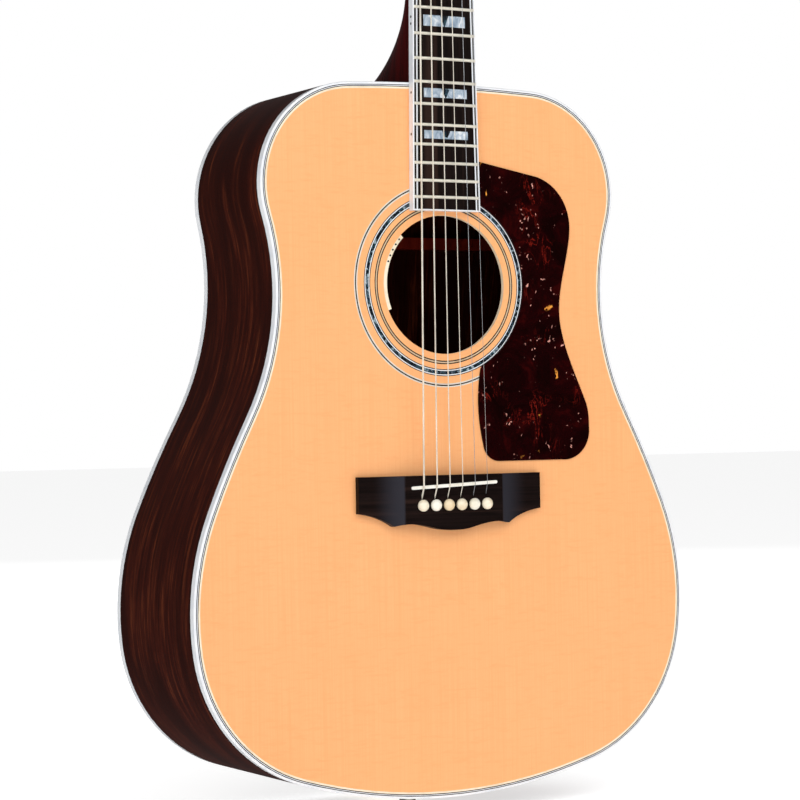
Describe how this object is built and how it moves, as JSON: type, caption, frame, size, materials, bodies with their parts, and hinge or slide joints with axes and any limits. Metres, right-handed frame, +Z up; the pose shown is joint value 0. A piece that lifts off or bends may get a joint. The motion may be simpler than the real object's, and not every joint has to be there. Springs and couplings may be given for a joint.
{
  "type": "acoustic guitar",
  "caption": "Steel-string acoustic guitar with a domed back, bound body, pinned bridge, block inlays, pickguard and geared tuners that turn.",
  "frame": {"origin": "on the endpin's axis where it meets the tail of the body", "axes": "+Z up the neck, +X to the treble side, -Y the way the soundboard faces"},
  "size_m": [0.4156, 0.1612, 1.086],
  "materials": {
    "spruce_top": "clear gloss",
    "rosette_wood": "gloss",
    "black_fibre": "gloss",
    "white_binding": "gloss",
    "rosewood": "clear gloss",
    "pale_inlay": "clear gloss",
    "inner_wood": "raw",
    "mahogany": "raw",
    "neck_mahogany": "clear gloss",
    "tortoise": "gloss",
    "ebony": "satin",
    "bone": "polished",
    "pickup_metal": "dull",
    "fret_wire": "polished",
    "pearl": "gloss",
    "steel": "plain",
    "tuner_metal": "polished",
    "string_metal": "bright",
    "cream_plastic": "gloss",
    "pin_plastic": "gloss"
  },
  "bodies": {
    "guitar": {"back_and_side_purfling": "black_fibre", "back_bass_half": "rosewood", "back_binding": "white_binding", "back_braces": "inner_wood", "back_center_strip": "pale_inlay", "back_treble_half": "rosewood", "bass_side": "rosewood", "block_inlays": "pearl", "bridge": "ebony", "bridge_plate": "inner_wood", "control_strip": "cream_plastic", "endpin_jack": "tuner_metal", "fingerboard": "ebony", "fingerboard_binding": "white_binding", "fingerboard_purfling": "black_fibre", "frets": "fret_wire", "headstock_screws": "tuner_metal", "headstock_veneer": "ebony", "heel_cap": "white_binding", "linings": "inner_wood", "neck": "neck_mahogany", "neck_block": "mahogany", "nut": "bone", "pickguard": "tortoise", "rosette": "rosette_wood", "saddle": "bone", "side_dots": "black_fibre", "soundboard": "spruce_top", "strings": "string_metal", "tail_block": "mahogany", "tail_wedge": "white_binding", "tone_and_finger_braces": "inner_wood", "top_binding": "white_binding", "top_purfling": "black_fibre", "treble_side": "rosewood", "truss_rod": "steel", "truss_rod_cover": "black_fibre", "tuner_bushings": "tuner_metal", "tuner_housings": "tuner_metal", "undersaddle_pickup": "pickup_metal", "upper_transverse_brace": "inner_wood", "x_braces": "inner_wood"},
    "post_1": {"tuner_post_1": "tuner_metal"},
    "button_1": {"tuner_button_1": "tuner_metal"},
    "post_2": {"tuner_post_2": "tuner_metal"},
    "button_2": {"tuner_button_2": "tuner_metal"},
    "post_3": {"tuner_post_3": "tuner_metal"},
    "button_3": {"tuner_button_3": "tuner_metal"},
    "post_6": {"tuner_post_6": "tuner_metal"},
    "button_6": {"tuner_button_6": "tuner_metal"},
    "post_5": {"tuner_post_5": "tuner_metal"},
    "button_5": {"tuner_button_5": "tuner_metal"},
    "post_4": {"tuner_post_4": "tuner_metal"},
    "button_4": {"tuner_button_4": "tuner_metal"},
    "pin_1": {"bridge_pin_1": "pin_plastic"},
    "pin_2": {"bridge_pin_2": "pin_plastic"},
    "pin_3": {"bridge_pin_3": "pin_plastic"},
    "pin_4": {"bridge_pin_4": "pin_plastic"},
    "pin_5": {"bridge_pin_5": "pin_plastic"},
    "pin_6": {"bridge_pin_6": "pin_plastic"}
  },
  "joints": [
    {"name": "post_1_turn", "type": "hinge", "parent": "guitar", "child": "post_1", "pos_m": [-0.023, -0.05887, 0.93858], "axis": [0, -0.9703, 0.2419], "continuous": true},
    {"name": "button_1_turn", "type": "hinge", "parent": "guitar", "child": "button_1", "pos_m": [-0.023, -0.04156, 0.92596], "axis": [-1, 0, 0], "continuous": true},
    {"name": "post_2_turn", "type": "hinge", "parent": "guitar", "child": "post_2", "pos_m": [-0.0245, -0.04823, 0.98127], "axis": [0, -0.9703, 0.2419], "continuous": true},
    {"name": "button_2_turn", "type": "hinge", "parent": "guitar", "child": "button_2", "pos_m": [-0.0245, -0.03091, 0.96866], "axis": [-1, 0, 0], "continuous": true},
    {"name": "post_3_turn", "type": "hinge", "parent": "guitar", "child": "post_3", "pos_m": [-0.026, -0.03758, 1.02396], "axis": [0, -0.9703, 0.2419], "continuous": true},
    {"name": "button_3_turn", "type": "hinge", "parent": "guitar", "child": "button_3", "pos_m": [-0.026, -0.02027, 1.01135], "axis": [-1, 0, 0], "continuous": true},
    {"name": "post_6_turn", "type": "hinge", "parent": "guitar", "child": "post_6", "pos_m": [0.023, -0.05887, 0.93858], "axis": [0, -0.9703, 0.2419], "continuous": true},
    {"name": "button_6_turn", "type": "hinge", "parent": "guitar", "child": "button_6", "pos_m": [0.023, -0.04156, 0.92596], "axis": [1, 0, 0], "continuous": true},
    {"name": "post_5_turn", "type": "hinge", "parent": "guitar", "child": "post_5", "pos_m": [0.0245, -0.04823, 0.98127], "axis": [0, -0.9703, 0.2419], "continuous": true},
    {"name": "button_5_turn", "type": "hinge", "parent": "guitar", "child": "button_5", "pos_m": [0.0245, -0.03091, 0.96866], "axis": [1, 0, 0], "continuous": true},
    {"name": "post_4_turn", "type": "hinge", "parent": "guitar", "child": "post_4", "pos_m": [0.026, -0.03758, 1.02396], "axis": [0, -0.9703, 0.2419], "continuous": true},
    {"name": "button_4_turn", "type": "hinge", "parent": "guitar", "child": "button_4", "pos_m": [0.026, -0.02027, 1.01135], "axis": [1, 0, 0], "continuous": true},
    {"name": "pin_1_pull", "type": "slide", "parent": "guitar", "child": "pin_1", "axis": [0, -1, 0], "range_m": [0, 0.03]},
    {"name": "pin_2_pull", "type": "slide", "parent": "guitar", "child": "pin_2", "axis": [0, -1, 0], "range_m": [0, 0.03]},
    {"name": "pin_3_pull", "type": "slide", "parent": "guitar", "child": "pin_3", "axis": [0, -1, 0], "range_m": [0, 0.03]},
    {"name": "pin_4_pull", "type": "slide", "parent": "guitar", "child": "pin_4", "axis": [0, -1, 0], "range_m": [0, 0.03]},
    {"name": "pin_5_pull", "type": "slide", "parent": "guitar", "child": "pin_5", "axis": [0, -1, 0], "range_m": [0, 0.03]},
    {"name": "pin_6_pull", "type": "slide", "parent": "guitar", "child": "pin_6", "axis": [0, -1, 0], "range_m": [0, 0.03]}
  ],
  "couplings": [
    {"joint": "button_1_turn", "follows": "post_1_turn", "ratio": -18},
    {"joint": "button_2_turn", "follows": "post_2_turn", "ratio": -18},
    {"joint": "button_3_turn", "follows": "post_3_turn", "ratio": -18},
    {"joint": "button_6_turn", "follows": "post_6_turn", "ratio": 18},
    {"joint": "button_5_turn", "follows": "post_5_turn", "ratio": 18},
    {"joint": "button_4_turn", "follows": "post_4_turn", "ratio": 18}
  ]
}
